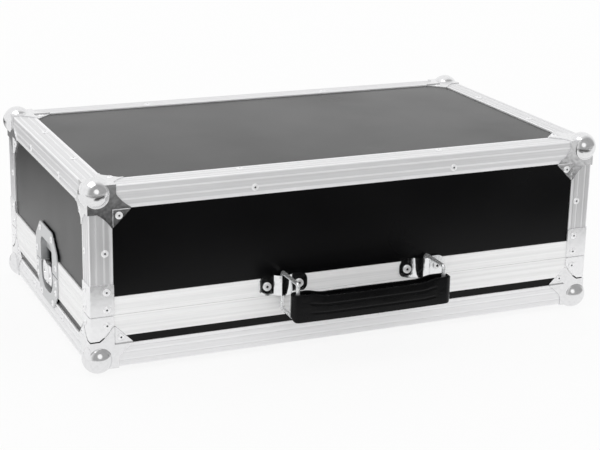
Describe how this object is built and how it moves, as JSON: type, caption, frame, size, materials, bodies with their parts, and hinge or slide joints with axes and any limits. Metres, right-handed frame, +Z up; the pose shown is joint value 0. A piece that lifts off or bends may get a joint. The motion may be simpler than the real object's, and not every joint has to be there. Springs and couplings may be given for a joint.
{
  "type": "flight case",
  "caption": "Black laminated flight case with a lift-off lid, aluminium edge profiles, ball corners, recessed turn latches and a padded ring handle.",
  "frame": {"origin": "centre of the whole outline seen from above, handle included, on the floor under the ball corners", "axes": "+X to the right along the front, +Y from the handle side to the back, +Z up"},
  "size_m": [0.736, 0.494, 0.255],
  "materials": {
    "laminated_board": "plywood faced with smooth black laminate",
    "edge_aluminium": "satin anodised",
    "rim_aluminium": "satin anodised",
    "corner_plate": "bright plated pressed steel",
    "closure_plate": "satin plated steel",
    "rivet_metal": "bright",
    "latch_plate": "plated pressed steel",
    "latch_works": "plated steel",
    "latch_wing": "plated steel",
    "handle_chrome": "polished",
    "handle_screw": "polished",
    "handle_cover": "glossy black vinyl over a padded core",
    "foam": "open-cell foam"
  },
  "bodies": {
    "base": {"base_bottom_panel": "laminated_board", "base_front_panel": "laminated_board", "base_back_panel": "laminated_board", "base_left_panel": "laminated_board", "base_right_panel": "laminated_board", "base_front_edge": "edge_aluminium", "base_back_edge": "edge_aluminium", "base_left_edge": "edge_aluminium", "base_right_edge": "edge_aluminium", "base_rim": "rim_aluminium", "base_ball_corner_front_left": "corner_plate", "base_ball_corner_front_right": "corner_plate", "base_ball_corner_back_left": "corner_plate", "base_ball_corner_back_right": "corner_plate", "base_closure_corners": "closure_plate", "base_rivets": "rivet_metal", "base_wall_foam": "foam", "base_floor_foam": "foam", "latch_dish_left": "latch_plate", "latch_dish_right": "latch_plate"},
    "lid": {"lid_top_panel": "laminated_board", "lid_front_panel": "laminated_board", "lid_back_panel": "laminated_board", "lid_left_panel": "laminated_board", "lid_right_panel": "laminated_board", "lid_front_edge": "edge_aluminium", "lid_back_edge": "edge_aluminium", "lid_left_edge": "edge_aluminium", "lid_right_edge": "edge_aluminium", "lid_corner_posts": "edge_aluminium", "lid_rim": "rim_aluminium", "lid_ball_corner_front_left": "corner_plate", "lid_ball_corner_front_right": "corner_plate", "lid_ball_corner_back_left": "corner_plate", "lid_ball_corner_back_right": "corner_plate", "lid_closure_corners": "closure_plate", "lid_rivets": "rivet_metal", "lid_wall_foam": "foam", "lid_top_foam": "foam", "keeper_dish_left": "latch_plate", "handle_bracket_left": "handle_chrome", "keeper_dish_right": "latch_plate", "handle_bracket_right": "handle_chrome", "handle_screws": "handle_screw"},
    "latch_rotor_left": {"latch_rotor_left": "latch_works", "latch_pins_left": "latch_works"},
    "latch_hook_left": {"latch_hook_left": "latch_works"},
    "latch_wing_back_left": {"latch_wing_back_left": "latch_wing"},
    "latch_wing_front_left": {"latch_wing_front_left": "latch_wing"},
    "latch_rotor_right": {"latch_rotor_right": "latch_works", "latch_pins_right": "latch_works"},
    "latch_hook_right": {"latch_hook_right": "latch_works"},
    "latch_wing_back_right": {"latch_wing_back_right": "latch_wing"},
    "latch_wing_front_right": {"latch_wing_front_right": "latch_wing"},
    "handle_ring_left": {"handle_ring_left": "handle_chrome"},
    "handle_ring_right": {"handle_ring_right": "handle_chrome"},
    "handle_strap": {"handle_strap": "handle_cover"}
  },
  "joints": [
    {"name": "lid_lift", "type": "slide", "parent": "base", "child": "lid", "axis": [0, 0, 1], "range_m": [0, 0.25]},
    {"name": "latch_turn_left", "type": "hinge", "parent": "base", "child": "latch_rotor_left", "pos_m": [-0.359, 0.02805, 0.069], "axis": [-1, 0, 0], "range_deg": [0, 180]},
    {"name": "latch_hook_rise_left", "type": "slide", "parent": "base", "child": "latch_hook_left", "axis": [0, 0, 1], "range_m": [0, 0.006]},
    {"name": "latch_wing_back_left_fold", "type": "hinge", "parent": "latch_rotor_left", "child": "latch_wing_back_left", "pos_m": [-0.3586, 0.03065, 0.069], "axis": [0, 0, 1], "range_deg": [0, 90]},
    {"name": "latch_wing_front_left_fold", "type": "hinge", "parent": "latch_rotor_left", "child": "latch_wing_front_left", "pos_m": [-0.3586, 0.02545, 0.069], "axis": [0, 0, -1], "range_deg": [0, 90]},
    {"name": "latch_turn_right", "type": "hinge", "parent": "base", "child": "latch_rotor_right", "pos_m": [0.359, 0.02805, 0.069], "axis": [1, 0, 0], "range_deg": [0, 180]},
    {"name": "latch_hook_rise_right", "type": "slide", "parent": "base", "child": "latch_hook_right", "axis": [0, 0, 1], "range_m": [0, 0.006]},
    {"name": "latch_wing_back_right_fold", "type": "hinge", "parent": "latch_rotor_right", "child": "latch_wing_back_right", "pos_m": [0.3586, 0.03065, 0.069], "axis": [0, 0, -1], "range_deg": [0, 90]},
    {"name": "latch_wing_front_right_fold", "type": "hinge", "parent": "latch_rotor_right", "child": "latch_wing_front_right", "pos_m": [0.3586, 0.02545, 0.069], "axis": [0, 0, 1], "range_deg": [0, 90]},
    {"name": "handle_ring_left_swing", "type": "hinge", "parent": "lid", "child": "handle_ring_left", "pos_m": [-0.104, -0.18505, 0.0843], "axis": [0, 0, 1], "range_deg": [-65, 65]},
    {"name": "handle_ring_right_swing", "type": "hinge", "parent": "lid", "child": "handle_ring_right", "pos_m": [0.104, -0.18505, 0.0843], "axis": [0, 0, 1], "range_deg": [-65, 65]},
    {"name": "handle_strap_turn", "type": "hinge", "parent": "handle_ring_left", "child": "handle_strap", "pos_m": [-0.104, -0.23655, 0.0802], "axis": [0, 0, 1], "range_deg": [-65, 65]}
  ],
  "couplings": [
    {"joint": "latch_turn_left", "follows": "latch_hook_rise_left", "rad_per_m": 523.59},
    {"joint": "latch_turn_right", "follows": "latch_hook_rise_right", "rad_per_m": 523.59},
    {"joint": "handle_ring_right_swing", "follows": "handle_ring_left_swing", "ratio": 1},
    {"joint": "handle_strap_turn", "follows": "handle_ring_left_swing", "ratio": -1}
  ]
}
